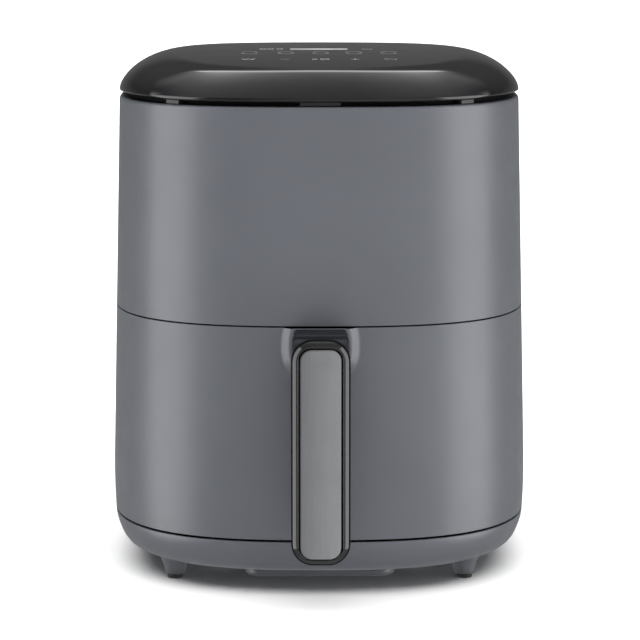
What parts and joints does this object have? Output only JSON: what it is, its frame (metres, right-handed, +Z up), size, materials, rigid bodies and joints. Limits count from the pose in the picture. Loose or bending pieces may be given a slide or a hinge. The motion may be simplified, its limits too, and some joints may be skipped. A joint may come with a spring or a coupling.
{
  "type": "air fryer",
  "caption": "Drawer-type hot-air fryer with a tapered rounded-square housing, sloped gloss touch cap, pull-out bowl with crisper plate, and upright loop-front handle.",
  "frame": {"origin": "centre of the overall box's footprint, at the bottom faces of the foot pads", "axes": "+Z up, -Y towards the drawer handle, +X to the right for someone facing the front"},
  "size_m": [0.264, 0.353, 0.3215],
  "materials": {
    "body_paint": "satin grey, fine mist-coat grain",
    "cap_gloss": "polished black",
    "handle_gloss": "polished black",
    "handle_metal": "brushed grey along the grip",
    "bay_plastic": "matte black, fine texture",
    "trim_plastic": "matte black, spark-eroded texture",
    "display_plastic": "smooth dark plastic",
    "foot_rubber": "matte black rubber",
    "bumper_silicone": "matte black silicone",
    "nonstick_coat": "black non-stick coat with fine fleck",
    "liner_steel": "plain sheet steel",
    "element_steel": "heat-darkened tube",
    "motor_steel": "zinc grey",
    "screw_steel": "bright zinc",
    "board_green": "lacquered circuit board"
  },
  "bodies": {
    "housing": {"base_shell": "body_paint", "base_plinth": "body_paint", "foot_pad_front_left": "foot_rubber", "foot_pad_front_right": "foot_rubber", "foot_pad_rear_left": "foot_rubber", "foot_pad_rear_right": "foot_rubber", "base_screw_front_left": "screw_steel", "base_screw_front_right": "screw_steel", "base_screw_rear_left": "screw_steel", "base_screw_rear_right": "screw_steel", "bay_tray": "bay_plastic", "rail_left": "bay_plastic", "rail_right": "bay_plastic", "bay_ceiling": "bay_plastic", "housing_shell": "body_paint", "chamber_liner": "liner_steel", "element_guard": "liner_steel", "heating_element": "element_steel", "heat_shield": "liner_steel", "temperature_sensor": "screw_steel", "thermal_cutout": "screw_steel", "motor_bracket": "liner_steel", "motor_body": "motor_steel", "power_board": "board_green", "control_board": "board_green", "display_module": "display_plastic", "drawer_switch": "display_plastic", "cap_collar": "bay_plastic", "top_cap": "cap_gloss", "rear_vent_grille": "trim_plastic", "rear_spacer": "trim_plastic", "cord_gland": "trim_plastic"},
    "fan": {"motor_shaft": "screw_steel", "hot_air_fan": "liner_steel", "cooling_fan": "display_plastic", "fan_nut": "screw_steel"},
    "drawer": {"drawer_front": "body_paint", "drawer_inner_front": "bay_plastic", "bowl": "nonstick_coat", "switch_tab": "bay_plastic", "handle_core": "body_paint", "handle_frame": "handle_gloss", "handle_insert": "handle_metal", "handle_screw_left": "screw_steel", "handle_screw_right": "screw_steel"},
    "crisper": {"crisper_plate": "nonstick_coat", "plate_bumper_front_left": "bumper_silicone", "plate_bumper_front_right": "bumper_silicone", "plate_bumper_rear_left": "bumper_silicone", "plate_bumper_rear_right": "bumper_silicone"},
    "plunger": {"switch_plunger": "display_plastic"}
  },
  "joints": [
    {"name": "fan_spin", "type": "hinge", "parent": "housing", "child": "fan", "pos_m": [0, 0.0085, 0.235], "axis": [0, 0, 1], "continuous": true},
    {"name": "drawer_slide", "type": "slide", "parent": "housing", "child": "drawer", "axis": [0, -1, 0], "range_m": [0, 0.27]},
    {"name": "crisper_lift", "type": "slide", "parent": "drawer", "child": "crisper", "axis": [0, 0, 1], "range_m": [0, 0.09]},
    {"name": "plunger_press", "type": "slide", "parent": "housing", "child": "plunger", "axis": [0, 1, 0], "range_m": [0, 0.0015], "stiffness_N_per_m": 300}
  ]
}
